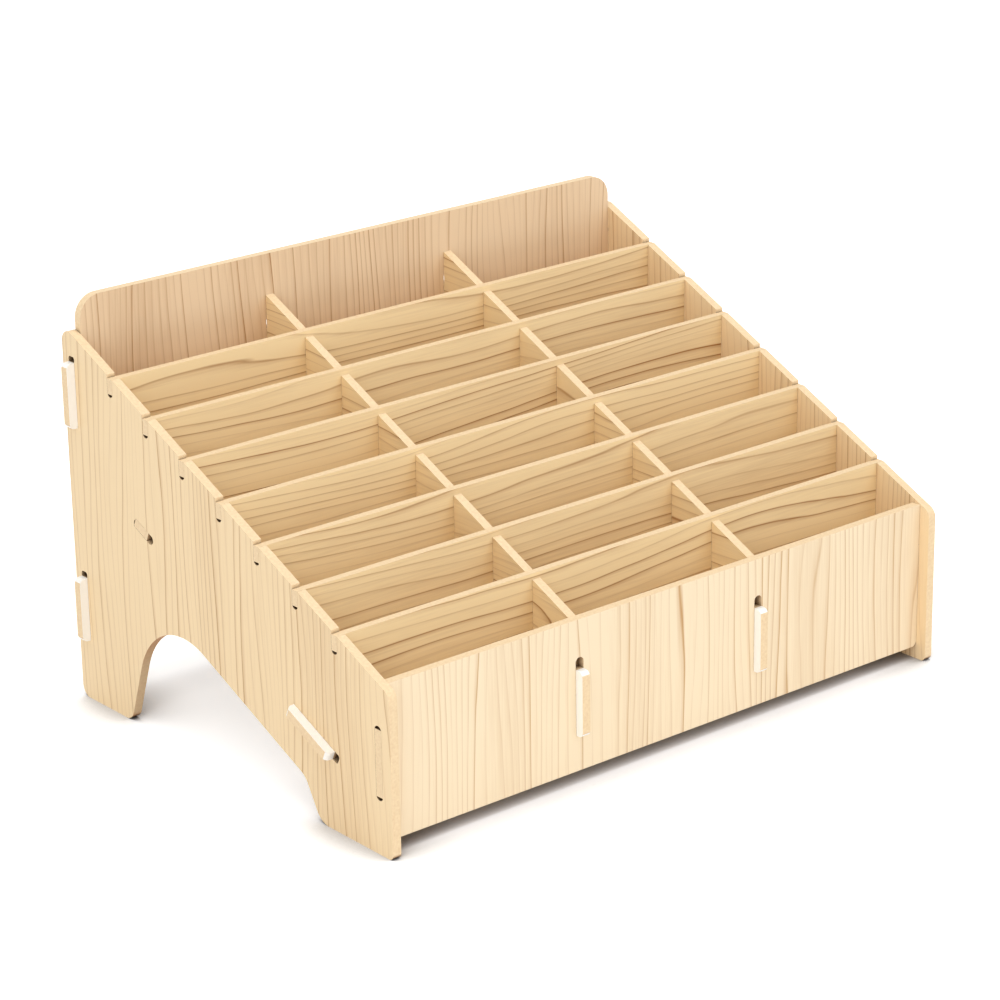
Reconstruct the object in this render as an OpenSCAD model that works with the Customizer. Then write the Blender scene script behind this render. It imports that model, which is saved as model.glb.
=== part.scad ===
// Sloping desktop rack with rows of narrow cells, made of flat boards that
// slot, lap and hook into each other with no screws or glue.
// Lengths are in millimetres. X is the width, Y runs from front to rear, Z is up.
// The origin lies on the ground under the middle of the rack.

/* [Rack] */
// Width over the outer faces of the two sides
rack_w = 300; // [270:1:340]
// Rows of cells from front to rear
rows = 8; // [7:1:9]
// Distance from one partition to the next
row_pitch = 24.8; // [24:0.1:26]
// Clear depth of the front row
front_cell = 22.45; // [20:0.05:25]
// Clear depth of the rear row
rear_cell = 24.25; // [22:0.05:27]
// Angle of the sloping top edges
slope = 24.4; // [22.5:0.1:25]
// Height of the sides' sloping edge where it meets their front edge
front_h = 69.7; // [68:0.1:74]
// Height of the back panel's top edge
back_h = 180; // [178:1:200]

/* [Boards] */
// Thickness of the sides, the panels, the floor and the dividers
board_t = 4; // [3.6:0.1:4.4]
// Thickness of the partitions
partition_t = 3.5; // [3:0.1:4]
// Gap on each face of a slotted joint
gap = 0.1; // [0.05:0.01:0.15]

/* [Sides] */
// Distance of the front panel behind the sides' front edges
front_inset = 5.5; // [4:0.1:8]
// Distance of the back panel in front of the sides' rear edges
rear_inset = 4.5; // [4:0.1:8]
// Length of the front foot along the ground
front_foot_l = 46.2; // [42:0.1:50]
// Angle of the front foot's rear edge from the ground
front_foot_lean = 60; // [56:1:66]
// Length of the rear foot along the ground
rear_foot_l = 37.5; // [34:0.1:42]
// Angle of the rear foot's front edge from the ground
rear_foot_lean = 71; // [68:1:74]
// Distance from the sloping edge down to the leg arch, square to the slope
arch_cover = 71.2; // [68:0.1:73]
// Radius at the top of the leg arch
arch_r = 34.4; // [28:0.1:36]
// Radius between the leg arch and the front foot
knee_r = 10; // [4:0.5:14]
// Radius under the front foot
front_foot_r = 9; // [3:0.5:10]
// Radius under the rear foot
rear_foot_r = 6; // [2:0.5:8]
// Radius of the sides' outer corners
side_r = 5; // [2:0.5:6]
// Radius of the lower front corners
toe_r = 2.5; // [1:0.5:4]

/* [Panels] */
// Height of the front panel's lower edge
front_clear = 6; // [4:0.5:10]
// Height of the front panel's upper edge
front_panel_h = 72; // [68:0.5:74]
// Height of the back panel's lower edge
back_clear = 21.5; // [19:0.5:25]
// Radius of the back panel's upper corners
back_r = 10; // [4:0.5:16]
// Radius of the other corners of panels and tabs
corner_r = 2.5; // [1:0.5:3]
// Distance from the sloping edge down to the floor board's top, square to the slope
floor_cover = 46.8; // [45:0.1:49]
// Step of the dividers' top edges below the sloping edge
divider_drop = 2.5; // [1:0.1:4]

/* [Hooks and tabs] */
// How far a hook's head stands out of the board that it grips
hook_out = 4; // [3:0.1:5]
// Length of a hook's head
hook_l = 28.6; // [26:0.1:29]
// Radius of a hook's outer corners
hook_r = 2.5; // [1:0.1:2.8]
// Overlap of a hook's tip behind the board that it grips, on the sides
side_lip = 0.9; // [0.6:0.1:2]
// Radius at the ends of the hook slots in the sides
hook_slot_r = 1.2; // [0.8:0.1:1.8]
// Overlap of a divider's hook behind the front panel
front_lip = 2.2; // [1.5:0.1:4]
// Height of the lower tip of the back panel's upper hooks
upper_hook_z = 123.8; // [118:0.1:126]
// Height of the lower tip of the back panel's lower hooks
lower_hook_z = 27.8; // [25:0.1:34]
// Height of the lower tip of the dividers' hooks
divider_hook_z = 21.8; // [19:0.1:23]
// Height of the front panel's tabs
front_tab_l = 28.6; // [24:0.1:34]
// Distance from the sides' front edges to the low end of the floor's hook slots
floor_hook_y = 33.3; // [32:0.1:36]
// Distance from the sides' front edges to the low end of the floor's tab slots
floor_tab_y = 156.5; // [152:0.5:160]
// Length of the floor's tab slots
floor_tab_slot_l = 14.5; // [14:0.1:18]
// Height of the tabs that hold the dividers in the back panel
divider_tab_l = 20; // [14:0.5:24]
// Height of a partition's ears
ear_h = 6.7; // [6:0.1:8]
// Depth of the cross laps below a partition's top edge
lap_h = 25; // [20:0.5:30]

/* [Hidden] */
partition_n = rows - 1;
$fn = 64;

inner_w = rack_w - 2 * board_t;
board_w = inner_w - 2 * gap;
cell_w = (inner_w - 2 * board_t) / 3;
divider_x = (cell_w + board_t) / 2;

// Distances from the sides' front edges
front_face = front_inset + board_t;
first_partition = front_face + front_cell + partition_t / 2;
last_partition = first_partition + (partition_n - 1) * row_pitch;
back_face = last_partition + partition_t / 2 + rear_cell;
rack_d = back_face + board_t + rear_inset;

slot_w = board_t + 2 * gap;
notch_w = partition_t + 2 * gap;
floor_mid = floor_cover + board_t / 2;
side_color = "wheat";
panel_color = "burlywood";
inner_color = "tan";

// Height of a line that lies a given distance under the sloping edge, square to it
function under(y, cover = 0) = front_h + y * tan(slope) - cover / cos(slope);

front_tab_z = (front_clear + front_panel_h - front_tab_l) / 2;
divider_tab_z = under(back_face, floor_cover) + 14;

// Top edge of the k-th partition counted from the rear, and its place
function partition_y(k) = last_partition - (k - 1) * row_pitch;
function partition_top(k) = under(partition_y(k) - partition_t / 2);

// Where two lines meet, each given by a point and an angle
function crossing(p, a, q, b) =
    let (d = [cos(a), sin(a)], e = [cos(b), sin(b)])
    p + d * ((q.x - p.x) * e.y - (q.y - p.y) * e.x) / (d.x * e.y - d.y * e.x);

// How far a square tab stays above the end of its slot, whose corners have radius r
function seat(r) = r - sqrt(r * r - (r - gap) * (r - gap)) + gap / 2;

function unit(v) = v / norm(v);

// The points of one corner c = [x, y, radius] between the corners p before it and n after it
function bend(c, p, n) =
    let (
        a = unit([p.x - c.x, p.y - c.y]),
        b = unit([n.x - c.x, n.y - c.y]),
        half = acos(a * b) / 2,
        centre = [c.x, c.y] + unit(a + b) * c.z / sin(half),
        turn = a.x * b.y < a.y * b.x ? 90 - half : half - 90,
        middle = atan2(-a.y - b.y, -a.x - b.x),
        steps = max(6, ceil(c.z * 0.7))
    )
    c.z == 0 ? [[c.x, c.y]]
    : [for (i = [-steps:steps]) centre + c.z * [cos(middle + turn * i / steps), sin(middle + turn * i / steps)]];

// Outline with an arc at each corner, from a counter-clockwise list of [x, y, radius]
module rounded(corners) {
    n = len(corners);
    polygon([for (i = [0:n - 1])
        each bend(corners[i], corners[(i + n - 1) % n], corners[(i + 1) % n])]);
}

// Milled slot with round ends, from its low end upwards
module slot(l, w = slot_w) {
    translate([-w / 2, w / 2]) square([w, l - w]);
    for (y = [w / 2, l - w / 2])
        translate([0, y]) circle(d = w);
}

// Milled slot that is open at its upper end and round at its lower one
module notch(l, w = notch_w) {
    translate([-w / 2, w / 2]) square([w, l]);
    translate([0, w / 2]) circle(d = w);
}

// Milled slot that a hook's head goes through, with smaller radii at its ends
module hook_slot() {
    l = hook_l + 2 * seat(hook_slot_r);
    rounded([
        [-slot_w / 2, 0, hook_slot_r],
        [slot_w / 2, 0, hook_slot_r],
        [slot_w / 2, l, hook_slot_r],
        [-slot_w / 2, l, hook_slot_r]
    ]);
}

// Corners of a square tab on an edge at x, upwards: it ends flush with the board it goes through
function tab(x, y, l) =
    let (end = x + board_t + gap)
    [[x, y, 0], [end, y, 0], [end, y + l, 0], [x, y + l, 0]];

// Corners of a hook on an edge at x, upwards: its head hangs down behind the board it goes through
function hook(x, y, lip, r) =
    let (
        inside = x + board_t + 2 * gap,
        end = x + board_t + gap + hook_out,
        neck = y + lip + seat(r)
    )
    [
        [x, neck, 0], [inside, neck, 0], [inside, y, 0],
        [end, y, hook_r], [end, y + hook_l, hook_r], [x, y + hook_l, 0]
    ];

// The same corners seen from the other side, in the opposite order
function mirrored(c) = [for (i = [len(c) - 1:-1:0]) [-c[i].x, c[i].y, c[i].z]];
function upended(c, y) = [for (i = [len(c) - 1:-1:0]) [c[i].x, y - c[i].y, c[i].z]];

// Board that is alike at both ends, from the corners of its right end, upwards
module two_ended(c) {
    rounded(concat(c, mirrored(c)));
}

// Board that stands along Y: the outline's x is the distance from the sides' front edges
module lengthwise(x, t) {
    translate([x, -rack_d / 2, 0])
        rotate([90, 0, 90])
            linear_extrude(t) children();
}

// Board that stands along X with its front face at a given distance
module crosswise(y, t) {
    translate([0, y + t - rack_d / 2, 0])
        rotate([90, 0, 0])
            linear_extrude(t) children();
}

// Moves an outline to a point of a line under the sloping edge and turns it uphill
module uphill(y, cover) {
    translate([y, under(y, cover)]) rotate(slope - 90) children();
}

module side_outline() {
    front_foot = [front_foot_l, 0];
    rear_foot = [rack_d - rear_foot_l, 0];
    arch = [0, under(0, arch_cover)];
    knee = crossing(front_foot, front_foot_lean, arch, slope);
    crown = crossing(rear_foot, 180 - rear_foot_lean, arch, slope);
    rounded([
        [0, 0, toe_r],
        [front_foot.x, 0, front_foot_r],
        [knee.x, knee.y, knee_r],
        [crown.x, crown.y, arch_r],
        [rear_foot.x, 0, rear_foot_r],
        [rack_d, 0, side_r],
        [rack_d, under(rack_d), side_r],
        [0, front_h, side_r]
    ]);
}

module side_board() {
    difference() {
        side_outline();
        for (k = [1:partition_n])
            translate([partition_y(k), partition_top(k) - ear_h - seat(notch_w / 2)])
                notch(2 * ear_h);
        translate([front_inset + board_t / 2, front_tab_z - seat(slot_w / 2)])
            slot(front_tab_l + 2 * seat(slot_w / 2));
        for (z = [upper_hook_z, lower_hook_z])
            translate([back_face + board_t / 2, z + side_lip])
                hook_slot();
        uphill(floor_hook_y, floor_mid) hook_slot();
        uphill(floor_tab_y, floor_mid) slot(floor_tab_slot_l);
    }
}

module left_side() {
    color(side_color) lengthwise(-rack_w / 2, board_t) side_board();
}

module right_side() {
    color(side_color) lengthwise(rack_w / 2 - board_t, board_t) side_board();
}

module front_panel() {
    x = board_w / 2;
    color(panel_color) crosswise(front_inset, board_t) difference() {
        two_ended(concat(
            [[x, front_clear, corner_r]],
            tab(x, front_tab_z, front_tab_l),
            [[x, front_panel_h, 0]]
        ));
        for (side = [-1, 1])
            translate([side * divider_x, divider_hook_z + front_lip])
                slot(hook_l + 2 * seat(slot_w / 2));
    }
}

module back_panel() {
    x = board_w / 2;
    color(panel_color) crosswise(back_face, board_t) difference() {
        two_ended(concat(
            [[x, back_clear, corner_r]],
            hook(x, lower_hook_z, side_lip, hook_slot_r),
            hook(x, upper_hook_z, side_lip, hook_slot_r),
            [[x, back_h, back_r]]
        ));
        for (side = [-1, 1])
            translate([side * divider_x, divider_tab_z - seat(slot_w / 2)])
                slot(divider_tab_l + front_lip + 3 * seat(slot_w / 2));
    }
}

// The floor lies under the cells, parallel to the sloping edge. Its outline is drawn
// across the rack, with y counted uphill from the front panel.
module floor_board() {
    x = board_w / 2;
    start = front_face + gap;
    length = (back_face - gap - start - board_t * sin(slope)) / cos(slope);
    travel = side_lip + seat(hook_slot_r);
    hook_at = (floor_hook_y - start) / cos(slope) + travel + seat(hook_slot_r);
    tab_at = (floor_tab_y - start) / cos(slope) + travel + seat(slot_w / 2);
    tab_l = floor_tab_slot_l - 2 * seat(slot_w / 2) - travel;
    color(inner_color)
        translate([0, start - rack_d / 2, under(start, floor_cover)])
            rotate([slope, 0, 0])
                translate([0, 0, -board_t])
                    linear_extrude(board_t) two_ended(concat(
                        [[x, 0, 0]],
                        upended(hook(x, 0, side_lip, hook_slot_r), hook_at + hook_l),
                        tab(x, tab_at, tab_l),
                        [[x, length, 0]]
                    ));
}

module divider(x) {
    rear = back_face - gap;
    front = front_face + gap;
    color(inner_color) lengthwise(x - board_t / 2, board_t) difference() {
        rounded(concat(
            [[front, under(front, floor_cover - gap), 0], [rear, under(rear, floor_cover - gap), 0]],
            tab(rear, divider_tab_z, divider_tab_l),
            [[rear, under(rear) - divider_drop, 0], [front, under(front) - divider_drop, 0]],
            mirrored(hook(-front, divider_hook_z, front_lip, slot_w / 2))
        ));
        for (k = [1:partition_n])
            translate([partition_y(k), partition_top(k) - lap_h - notch_w / 2])
                notch(2 * lap_h);
    }
}

module divider_left() {
    divider(-divider_x);
}

module divider_right() {
    divider(divider_x);
}

module partition(k) {
    y = partition_y(k);
    top = partition_top(k);
    bottom = under(y + partition_t / 2, floor_cover) + gap;
    color(inner_color) crosswise(y - partition_t / 2, partition_t) difference() {
        two_ended([
            [board_w / 2, bottom, 0],
            [board_w / 2, top - ear_h, 0],
            [rack_w / 2, top - ear_h, 0],
            [rack_w / 2, top, 0]
        ]);
        for (x = [-divider_x, divider_x])
            translate([x, top - lap_h + slot_w / 2])
                mirror([0, 1]) notch(lap_h + ear_h + slot_w, slot_w);
    }
}

left_side();
right_side();
front_panel();
back_panel();
floor_board();
divider_left();
divider_right();
for (k = [1:partition_n])
    partition(k);
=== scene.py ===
import math

import bpy
from mathutils import Matrix, Vector


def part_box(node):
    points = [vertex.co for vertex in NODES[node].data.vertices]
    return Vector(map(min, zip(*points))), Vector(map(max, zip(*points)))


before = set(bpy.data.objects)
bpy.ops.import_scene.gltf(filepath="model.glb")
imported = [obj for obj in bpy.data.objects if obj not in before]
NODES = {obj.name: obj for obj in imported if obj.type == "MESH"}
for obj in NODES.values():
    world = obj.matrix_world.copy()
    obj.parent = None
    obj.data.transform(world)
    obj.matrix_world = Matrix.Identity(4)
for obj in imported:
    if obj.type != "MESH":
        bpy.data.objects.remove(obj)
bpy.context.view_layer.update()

bl_info = {
    "name": "Slotted Desk Rack",
    "version": (1, 0, 0),
    "blender": (4, 5, 0),
    "location": "View3D > Sidebar > Desk Rack",
    "description": "Finishes a desktop rack of slotted wood-grain boards and sets its stage",
    "category": "Object",
}

MM = 0.001
WHITE = (1.0, 1.0, 1.0, 1.0)
# Colour of the paper that the rack stands on, linear
PAPER = (0.86, 0.86, 0.86, 1.0)
AXES = {"X": 0, "Y": 1, "Z": 2}

PARTITIONS = sorted(name for name in NODES if name.startswith("partition_"))
DIVIDERS = ("divider_left", "divider_right")

# A hook's flanks are painted white as a highlight from just outside the board that it grips, in metres
HOOK_START = 0.05 * MM
BEYOND_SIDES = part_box("right_side")[1][0] + HOOK_START
BEYOND_FRONT = HOOK_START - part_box("front_panel")[0][1]

# The film is one long sheet, and each board is cut from another place in it
SIDE_PLACES = {"left_side": 2.0, "right_side": 31.0}
FRONT_PLACE = 57.0
BACK_PLACE = 71.0
FLOOR_PLACE = 83.0
DIVIDER_PLACES = dict(zip(DIVIDERS, (97.0, 113.0)))
PARTITION_PLACES = {name: 131.0 + 17.0 * index for index, name in enumerate(PARTITIONS)}


def linear(hex_color):
    """An sRGB hex colour as linear RGBA."""
    channels = [int(hex_color[i:i + 2], 16) / 255 for i in (1, 3, 5)]
    return tuple(c / 12.92 if c <= 0.04045 else ((c + 0.055) / 1.055) ** 2.4 for c in channels) + (1.0,)


def add(tree, kind, settings=None, links=None):
    """Adds a node with its settings, and links its inputs from other nodes or their outputs."""
    node = tree.nodes.new(kind)
    for key, value in (settings or {}).items():
        if key == "stops":
            elements = node.color_ramp.elements
            while len(elements) < len(value):
                elements.new(0.5)
            for element, (position, color) in zip(elements, value):
                element.position = position
                element.color = color
        elif isinstance(key, str) and hasattr(node, key):
            setattr(node, key, value)
        else:
            node.inputs[key].default_value = value
    for key, source in (links or {}).items():
        output = source.outputs[0] if isinstance(source, bpy.types.Node) else source
        tree.links.new(output, node.inputs[key])
    return node


def sheet_point(tree, across, along, across_mm, along_mm, place):
    """A point of the film, in units of the given lengths across and along the grain."""
    u = add(tree, "ShaderNodeMath", {"operation": "MULTIPLY", 1: 1 / (across_mm * MM)}, {0: across})
    v = add(tree, "ShaderNodeMath", {"operation": "MULTIPLY", 1: 1 / (along_mm * MM)}, {0: along})
    return add(tree, "ShaderNodeCombineXYZ", {2: place}, {0: u, 1: v})


def growth_lines(tree, across, along, place, spacing, figure):
    """How far each point of the film goes from its pale to its line colour, and its fibres.

    The lines lie about spacing millimetres apart. figure is how many lines they wander
    slowly, which parts them into arches where it works against their own direction, and
    they waver quickly by part of a line.
    """
    slow = add(tree, "ShaderNodeTexNoise", {"Scale": 1.0, "Detail": 1.0},
               {"Vector": sheet_point(tree, across, along, 38, 260, place)})
    quick = add(tree, "ShaderNodeTexNoise", {"Scale": 1.0, "Detail": 2.0},
                {"Vector": sheet_point(tree, across, along, 8, 85, place + 3.1)})
    straight = add(tree, "ShaderNodeMath", {"operation": "MULTIPLY", 1: 1 / (spacing * MM)}, {0: across})
    wandering = add(tree, "ShaderNodeMath", {"operation": "MULTIPLY_ADD", 1: figure},
                    {0: slow, 2: straight})
    waver = 0.6
    rings = add(tree, "ShaderNodeMath", {"operation": "MULTIPLY_ADD", 1: waver}, {0: quick, 2: wandering})

    # Late wood darkens slowly up to each line and stops short after it
    phase = add(tree, "ShaderNodeMath", {"operation": "FRACT"}, {0: rings})
    profile = add(tree, "ShaderNodeValToRGB", {"stops": [
        (position, (shade, shade, shade, 1.0)) for position, shade in
        ((0.0, 0.08), (0.1, 0.0), (0.6, 0.08), (0.84, 0.4), (0.92, 1.0), (0.98, 0.12))]}, {0: phase})

    # Each line has its own strength by chance: most are faint and some are strong
    whole = add(tree, "ShaderNodeMath", {"operation": "FLOOR"}, {0: rings})
    ring = add(tree, "ShaderNodeMath", {"operation": "ADD", 1: place}, {0: whole})
    chance = add(tree, "ShaderNodeTexWhiteNoise", {"noise_dimensions": "1D"}, {"W": ring})
    faintest = 0.22
    strong = add(tree, "ShaderNodeMath", {"operation": "POWER", 1: 1.8}, {0: chance.outputs["Value"]})
    weight = add(tree, "ShaderNodeMath", {"operation": "MULTIPLY_ADD", 1: 0.9, 2: faintest}, {0: strong})
    line = add(tree, "ShaderNodeMath", {"operation": "MULTIPLY"}, {0: profile, 1: weight})

    # Fibres about 0.5 mm wide, and broad pale and deep bands, each about its mean of a half
    fibre = add(tree, "ShaderNodeTexNoise", {"Scale": 1.0, "Detail": 2.0, "Roughness": 0.6},
                {"Vector": sheet_point(tree, across, along, 0.9, 30, place + 5.3)})
    band = add(tree, "ShaderNodeTexNoise", {"Scale": 1.0, "Detail": 1.0},
               {"Vector": sheet_point(tree, across, along, 30, 300, place + 7.7)})
    fibre_depth = 0.35
    band_depth = 0.5
    line = add(tree, "ShaderNodeMath", {"operation": "MULTIPLY_ADD", 1: fibre_depth}, {0: fibre, 2: line})
    line = add(tree, "ShaderNodeMath", {"operation": "MULTIPLY_ADD", 1: band_depth}, {0: band, 2: line})
    line = add(tree, "ShaderNodeMath", {
        "operation": "SUBTRACT", "use_clamp": True, 1: (fibre_depth + band_depth) / 2}, {0: line})
    return line, fibre


def sawn_edge(tree, point, facing_up, finish):
    """Colour output of the bare cut edge: smooth and pale, with painted shade deeper on faces that look
    down and almost black in slots.
    """
    specks_per_mm = 0.9
    speck = add(tree, "ShaderNodeTexNoise", {"Scale": specks_per_mm / MM, "Detail": 1.0}, {"Vector": point})
    pale = add(tree, "ShaderNodeValToRGB", {"stops": [
        (0.25, linear(finish.core_light)), (0.75, linear(finish.core_dark))]}, {0: speck})
    # Painted shade: cut edges that face down lie in shade, so their colour is toned deeper
    facing_down = add(tree, "ShaderNodeMapRange", {1: -0.2, 2: -0.8}, {0: facing_up})
    core = add(tree, "ShaderNodeMix", {"data_type": "RGBA", 7: linear(finish.core_shade_below)},
               {0: facing_down, 6: pale})
    # Painted shade: slots and notches are about as wide as this reach, so little light gets into them, and
    # the cut edge's colour is darkened there
    hollow = add(tree, "ShaderNodeAmbientOcclusion", {"samples": 8, "Distance": 4 * MM})
    dim = add(tree, "ShaderNodeValToRGB", {"stops": [(0.3, (0.12, 0.08, 0.05, 1.0)), (0.75, WHITE)]},
              {0: hollow.outputs["AO"]})
    shaded = add(tree, "ShaderNodeMix", {"data_type": "RGBA", "blend_type": "MULTIPLY", 0: 1.0},
                 {6: core.outputs[2], 7: dim})
    return shaded.outputs[2]


def hook_highlight_mask(tree, place, facing, axis, distance):
    """1 on the flanks of a hook's head, which stands out past a distance along X or along -Y."""
    # Painted highlight: the mask marks the flanks of the hooks' heads, which are painted white
    if axis == "X":
        reach = add(tree, "ShaderNodeMath", {"operation": "ABSOLUTE"}, {0: place.outputs["X"]})
    else:
        reach = add(tree, "ShaderNodeMath", {"operation": "MULTIPLY", 1: -1.0}, {0: place.outputs[axis]})
    outside = add(tree, "ShaderNodeMath", {"operation": "GREATER_THAN", 1: distance}, {0: reach})
    outward = add(tree, "ShaderNodeMath", {"operation": "ABSOLUTE"}, {0: facing.outputs[axis]})
    flank = add(tree, "ShaderNodeMath", {"operation": "LESS_THAN", 1: 0.93}, {0: outward})
    return add(tree, "ShaderNodeMath", {"operation": "MULTIPLY"}, {0: outside, 1: flank})


def pine_film_board(board, grain, thick, tones, lines, place, finish, hooks=None):
    """Density board with a printed pine film on both faces and bare sawn edges.

    The film gives thin brown growth lines on a pale ground with a satin sheen. grain and
    thick are the axes of the grain and of the board's thickness, tones the film's pale and
    line colours, and lines their spacing and figure. hooks is the axis and the distance
    past which the flanks of a hook are painted white as a highlight.
    """
    material = bpy.data.materials.new("pine_film_board_" + board)
    material.use_nodes = True
    tree = material.node_tree
    tree.nodes.clear()
    point = add(tree, "ShaderNodeTexCoord").outputs["Object"]
    spot = add(tree, "ShaderNodeSeparateXYZ", links={0: point})
    facing = add(tree, "ShaderNodeSeparateXYZ",
                 links={0: add(tree, "ShaderNodeNewGeometry").outputs["True Normal"]})
    across = (set(AXES) - {grain, thick}).pop()
    line, fibre = growth_lines(tree, spot.outputs[across], spot.outputs[grain], place, *lines)
    film = add(tree, "ShaderNodeMix", {"data_type": "RGBA", 6: linear(tones[0]), 7: linear(tones[1])},
               {0: line})

    # The cut edge shows where the surface turns away from the board's thickness
    flat = add(tree, "ShaderNodeMath", {"operation": "ABSOLUTE"}, {0: facing.outputs[thick]})
    on_edge = add(tree, "ShaderNodeMath", {"operation": "LESS_THAN", 1: 0.6}, {0: flat})
    color = add(tree, "ShaderNodeMix", {"data_type": "RGBA"},
                {0: on_edge, 6: film.outputs[2], 7: sawn_edge(tree, point, facing.outputs["Z"], finish)})
    # Painted highlight: the flanks of a hook's head are painted white
    if hooks:
        color = add(tree, "ShaderNodeMix", {"data_type": "RGBA", 7: linear(finish.hook_highlight)},
                    {0: hook_highlight_mask(tree, spot, facing, *hooks), 6: color.outputs[2]})
    relief = add(tree, "ShaderNodeBump", {"Strength": 0.1, "Distance": 0.2 * MM}, {"Height": fibre})
    shader = add(tree, "ShaderNodeBsdfPrincipled", {"Roughness": 0.5, "Specular IOR Level": 0.35},
                 {"Base Color": color.outputs[2], "Normal": relief})
    add(tree, "ShaderNodeOutputMaterial", links={0: shader})

    mesh = NODES[board]
    if not mesh.material_slots:
        mesh.data.materials.append(material)
    for slot in mesh.material_slots:
        slot.material = material


def seen_directly(tree):
    """1 where the background is seen: by the camera, in a gloss or through something clear."""
    path = add(tree, "ShaderNodeLightPath")
    seen = add(tree, "ShaderNodeMath", {"operation": "MAXIMUM"},
               {0: path.outputs["Is Camera Ray"], 1: path.outputs["Is Glossy Ray"]})
    return add(tree, "ShaderNodeMath", {"operation": "MAXIMUM"},
               {0: seen, 1: path.outputs["Is Transmission Ray"]})


def white_paper():
    """Matt white paper, which is seen as white where it lies open.

    Painted shade tints the paper deep brown near the rack, so the low gap under a board stays dark, and the
    rack is lit by plain matt paper.
    """
    material = bpy.data.materials.new("white_paper")
    material.use_nodes = True
    tree = material.node_tree
    tree.nodes.clear()
    matt = add(tree, "ShaderNodeBsdfDiffuse", {"Color": PAPER})
    # Painted shade: near the rack, the paper that the camera sees is tinted deep brown
    open_sky = add(tree, "ShaderNodeAmbientOcclusion", {"samples": 12, "Distance": 35 * MM}).outputs["AO"]
    light = add(tree, "ShaderNodeMapRange", {1: 0.15, 2: 0.8, 3: 0.25, 4: 1.0}, {0: open_sky})
    painted_shade_tone = add(tree, "ShaderNodeMix", {"data_type": "RGBA", 6: linear("#2E1D10"), 7: PAPER}, {0: light})
    contact = add(tree, "ShaderNodeBsdfDiffuse", links={0: painted_shade_tone.outputs[2]})
    clear = add(tree, "ShaderNodeMapRange", {1: 0.45, 2: 0.95, 3: 0.0, 4: 0.62}, {0: open_sky})
    glow = add(tree, "ShaderNodeEmission", {"Color": WHITE}, {"Strength": clear})
    seen = add(tree, "ShaderNodeAddShader", links={0: contact, 1: glow})
    chosen = add(tree, "ShaderNodeMixShader", links={0: seen_directly(tree), 1: matt, 2: seen})
    add(tree, "ShaderNodeOutputMaterial", links={0: chosen})
    return material


class RackFinish(bpy.types.PropertyGroup):
    """Colours of the printed boards and their cut edges, and the grain's lines"""

    side_light: bpy.props.StringProperty(
        name="Side light", description="Pale tone of the sides' film, sRGB hex", default="#F6DBB0")
    side_dark: bpy.props.StringProperty(
        name="Side dark", description="Line tone of the sides' film, sRGB hex", default="#B2824C")
    front_light: bpy.props.StringProperty(
        name="Front light", description="Pale tone of the front panel, sRGB hex", default="#F7E2C0")
    front_dark: bpy.props.StringProperty(
        name="Front dark", description="Line tone of the front panel, sRGB hex", default="#C2935A")
    back_light: bpy.props.StringProperty(
        name="Back light", description="Pale tone of the back panel, sRGB hex", default="#EACDA8")
    back_dark: bpy.props.StringProperty(
        name="Back dark", description="Line tone of the back panel, sRGB hex", default="#AA7A4A")
    inner_light: bpy.props.StringProperty(
        name="Inner light", description="Pale tone of the inner boards, sRGB hex", default="#F6DBAA")
    inner_dark: bpy.props.StringProperty(
        name="Inner dark", description="Line tone of the inner boards, sRGB hex", default="#9C6229")
    core_light: bpy.props.StringProperty(
        name="Core light", description="Pale tone of the cut edges, sRGB hex", default="#F4DAB1")
    core_dark: bpy.props.StringProperty(
        name="Core dark", description="Deep tone of the cut edges, sRGB hex", default="#EACCA2")
    # Painted shade: the deeper tone given to the cut edges that face down
    core_shade_below: bpy.props.StringProperty(
        name="Core under", description="Tone of the cut edges that face down, sRGB hex", default="#D39A66")
    # Painted highlight: the white painted on the flanks of the hooks' heads
    hook_highlight: bpy.props.StringProperty(
        name="Hook flank", description="Tone of the hooks' bare flanks, sRGB hex", default="#FFFDF8")
    outer_lines: bpy.props.FloatVectorProperty(
        name="Side and back lines", description="Distance of the lines in millimetres and their wander",
        size=2, default=(3.6, 9.0))
    front_lines: bpy.props.FloatVectorProperty(
        name="Front lines", description="Distance of the lines in millimetres and their wander",
        size=2, default=(4.2, 9.0))
    floor_lines: bpy.props.FloatVectorProperty(
        name="Floor lines", description="Distance of the lines in millimetres and their wander",
        size=2, default=(5.0, 4.0))
    divider_lines: bpy.props.FloatVectorProperty(
        name="Divider lines", description="Distance of the lines in millimetres and their wander",
        size=2, default=(5.0, 14.0))
    partition_lines: bpy.props.FloatVectorProperty(
        name="Partition lines", description="Distance of the lines in millimetres and their wander",
        size=2, default=(4.6, 7.0))


class RackStage(bpy.types.PropertyGroup):
    """The camera's place and lens"""

    azimuth: bpy.props.FloatProperty(
        name="Azimuth", description="Heading of the view, 0 looks along +Y",
        default=math.radians(39.48), subtype="ANGLE", unit="ROTATION")
    elevation: bpy.props.FloatProperty(
        name="Elevation", description="How far the camera looks down",
        default=math.radians(20.28), subtype="ANGLE", unit="ROTATION")
    roll: bpy.props.FloatProperty(
        name="Roll", description="Turn of the camera about its own axis",
        default=math.radians(-0.91), subtype="ANGLE", unit="ROTATION")
    place: bpy.props.FloatVectorProperty(
        name="Place", description="Where the camera stands",
        default=(-0.8676, -1.0479, 0.5848), subtype="TRANSLATION", unit="LENGTH")
    focal_mm: bpy.props.FloatProperty(
        name="Focal length", description="Lens for a 36 mm wide sensor, in millimetres", default=122.11)


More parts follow.
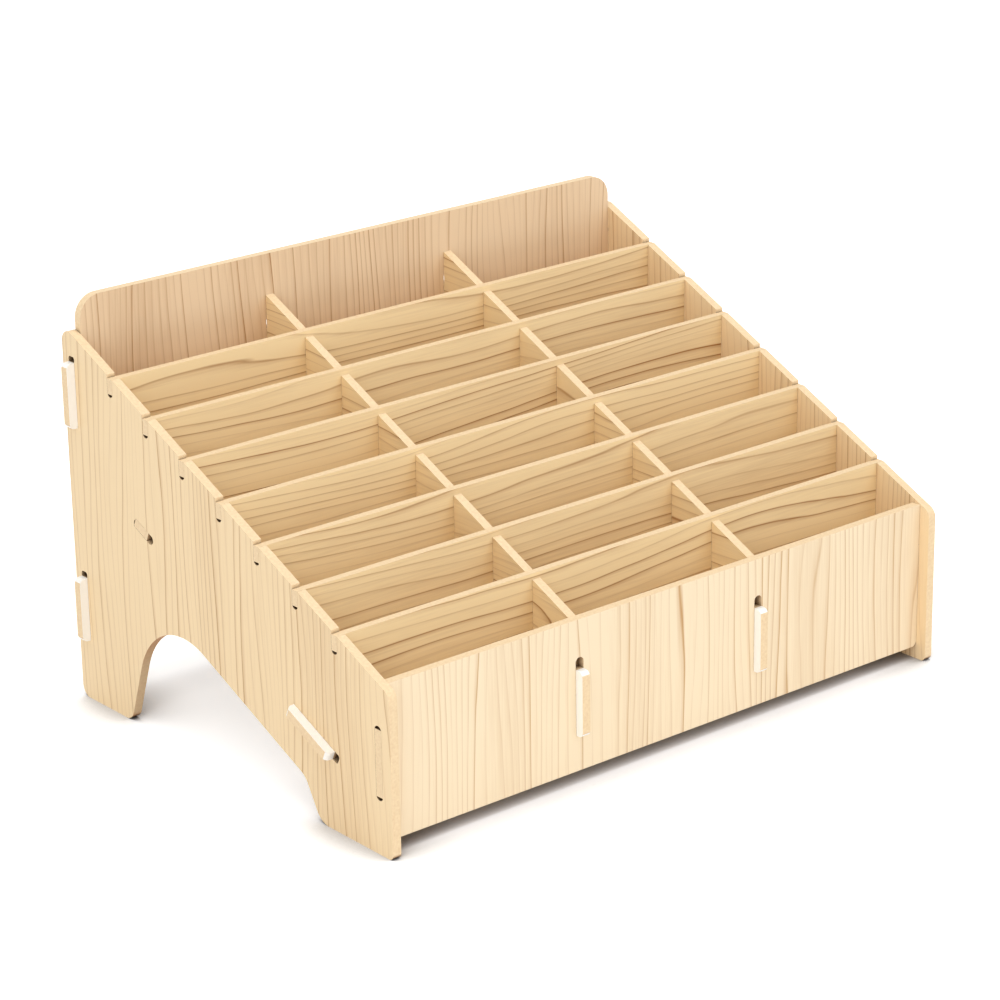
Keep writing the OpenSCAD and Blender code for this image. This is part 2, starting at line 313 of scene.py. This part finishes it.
class RACK_OT_stage(bpy.types.Operator):
    """Sets the camera, the pale floor and the soft studio light"""

    bl_idname = "rack.stage"
    bl_label = "Stage"

    def execute(self, context):
        stage = context.scene.rack_stage
        lens = bpy.data.cameras.new("camera")
        lens.sensor_width = 36.0
        lens.lens = stage.focal_mm
        lens.clip_end = 20.0
        camera = bpy.data.objects.new("camera", lens)
        context.scene.collection.objects.link(camera)
        ahead = Vector((math.sin(stage.azimuth) * math.cos(stage.elevation),
                        math.cos(stage.azimuth) * math.cos(stage.elevation),
                        -math.sin(stage.elevation)))
        turned = ahead.to_track_quat("-Z", "Y").to_matrix() @ Matrix.Rotation(stage.roll, 3, "Z")
        camera.matrix_world = Matrix.Translation(stage.place) @ turned.to_4x4()
        context.scene.camera = camera

        bpy.ops.mesh.primitive_plane_add(size=12.0)
        floor = context.object
        floor.name = "floor"
        floor.data.materials.append(white_paper())

        # Each lamp's name, its place and width in metres and its power in watts
        lamps = (
            ("overhead", (-0.3, -0.3, 2.2), 2.4, 21.0),
            ("front_left", (-1.9, -1.3, 1.3), 1.6, 12.0),
            ("front_right", (1.0, -2.2, 1.3), 1.6, 12.0),
        )
        aim = Vector((0.0, 0.0, 0.06))
        for name, place, width, power in lamps:
            lamp = bpy.data.lights.new(name, "AREA")
            lamp.size = width
            lamp.energy = power
            light = bpy.data.objects.new(name, lamp)
            turned = (aim - Vector(place)).to_track_quat("-Z", "Y").to_matrix()
            light.matrix_world = Matrix.Translation(place) @ turned.to_4x4()
            context.scene.collection.objects.link(light)

        # A pale sky lights the rack, and shows white behind it and in its gloss
        world = bpy.data.worlds.new("studio")
        world.use_nodes = True
        tree = world.node_tree
        tree.nodes.clear()
        light = 0.65
        strength = add(tree, "ShaderNodeMath", {"operation": "MULTIPLY_ADD", 1: 1.0 - light, 2: light},
                       {0: seen_directly(tree)})
        sky = add(tree, "ShaderNodeBackground", {"Color": WHITE}, {"Strength": strength})
        add(tree, "ShaderNodeOutputWorld", links={0: sky})
        context.scene.world = world
        context.scene.view_settings.view_transform = "Standard"
        return {"FINISHED"}


class RACK_OT_sides(bpy.types.Operator):
    """Finishes the two sloping sides: upright grain, pale cut edges"""

    bl_idname = "rack.sides"
    bl_label = "Sides"

    def execute(self, context):
        finish = context.scene.rack_finish
        tones = (finish.side_light, finish.side_dark)
        for name, place in SIDE_PLACES.items():
            pine_film_board(name, "Z", "X", tones, finish.outer_lines, place, finish)
        return {"FINISHED"}


class RACK_OT_panels(bpy.types.Operator):
    """Finishes the front and back panels: upright grain, white flanks on the back panel's hooks"""

    bl_idname = "rack.panels"
    bl_label = "Panels"

    def execute(self, context):
        finish = context.scene.rack_finish
        front = (finish.front_light, finish.front_dark)
        back = (finish.back_light, finish.back_dark)
        pine_film_board("front_panel", "Z", "Y", front, finish.front_lines, FRONT_PLACE, finish)
        pine_film_board("back_panel", "Z", "Y", back, finish.outer_lines, BACK_PLACE, finish,
                        ("X", BEYOND_SIDES))
        return {"FINISHED"}


class RACK_OT_floor_board(bpy.types.Operator):
    """Finishes the inclined floor under the cells: grain along the rack's width, white hook flanks"""

    bl_idname = "rack.floor_board"
    bl_label = "Floor board"

    def execute(self, context):
        finish = context.scene.rack_finish
        tones = (finish.inner_light, finish.inner_dark)
        pine_film_board("floor_board", "X", "Z", tones, finish.floor_lines, FLOOR_PLACE, finish,
                        ("X", BEYOND_SIDES))
        return {"FINISHED"}


class RACK_OT_dividers(bpy.types.Operator):
    """Finishes the two dividers: grain from front to rear, white flanks on their front hooks"""

    bl_idname = "rack.dividers"
    bl_label = "Dividers"

    def execute(self, context):
        finish = context.scene.rack_finish
        tones = (finish.inner_light, finish.inner_dark)
        for name, place in DIVIDER_PLACES.items():
            pine_film_board(name, "Y", "X", tones, finish.divider_lines, place, finish,
                            ("Y", BEYOND_FRONT))
        return {"FINISHED"}


class RACK_OT_partitions(bpy.types.Operator):
    """Finishes the partitions: level grain, each cut from another place of the sheet"""

    bl_idname = "rack.partitions"
    bl_label = "Partitions"

    def execute(self, context):
        finish = context.scene.rack_finish
        tones = (finish.inner_light, finish.inner_dark)
        for name, place in PARTITION_PLACES.items():
            pine_film_board(name, "X", "Y", tones, finish.partition_lines, place, finish)
        return {"FINISHED"}


class RACK_PT_panel(bpy.types.Panel):
    """Lists the steps that finish the rack, and their settings"""

    bl_label = "Desk Rack"
    bl_idname = "RACK_PT_panel"
    bl_space_type = "VIEW_3D"
    bl_region_type = "UI"
    bl_category = "Desk Rack"

    def draw(self, context):
        for step in STEPS:
            self.layout.operator(step.bl_idname)
        for group in (context.scene.rack_finish, context.scene.rack_stage):
            for key in group.__annotations__:
                self.layout.prop(group, key)


STEPS = (RACK_OT_stage, RACK_OT_sides, RACK_OT_panels, RACK_OT_floor_board,
         RACK_OT_dividers, RACK_OT_partitions)
CLASSES = (RackFinish, RackStage) + STEPS + (RACK_PT_panel,)


def register():
    for cls in CLASSES:
        bpy.utils.register_class(cls)
    bpy.types.Scene.rack_finish = bpy.props.PointerProperty(type=RackFinish)
    bpy.types.Scene.rack_stage = bpy.props.PointerProperty(type=RackStage)


def unregister():
    del bpy.types.Scene.rack_stage
    del bpy.types.Scene.rack_finish
    for cls in reversed(CLASSES):
        bpy.utils.unregister_class(cls)


def main():
    register()
    bpy.ops.rack.stage()
    bpy.ops.rack.sides()
    bpy.ops.rack.panels()
    bpy.ops.rack.floor_board()
    bpy.ops.rack.dividers()
    bpy.ops.rack.partitions()


if __name__ == "__main__":
    main()
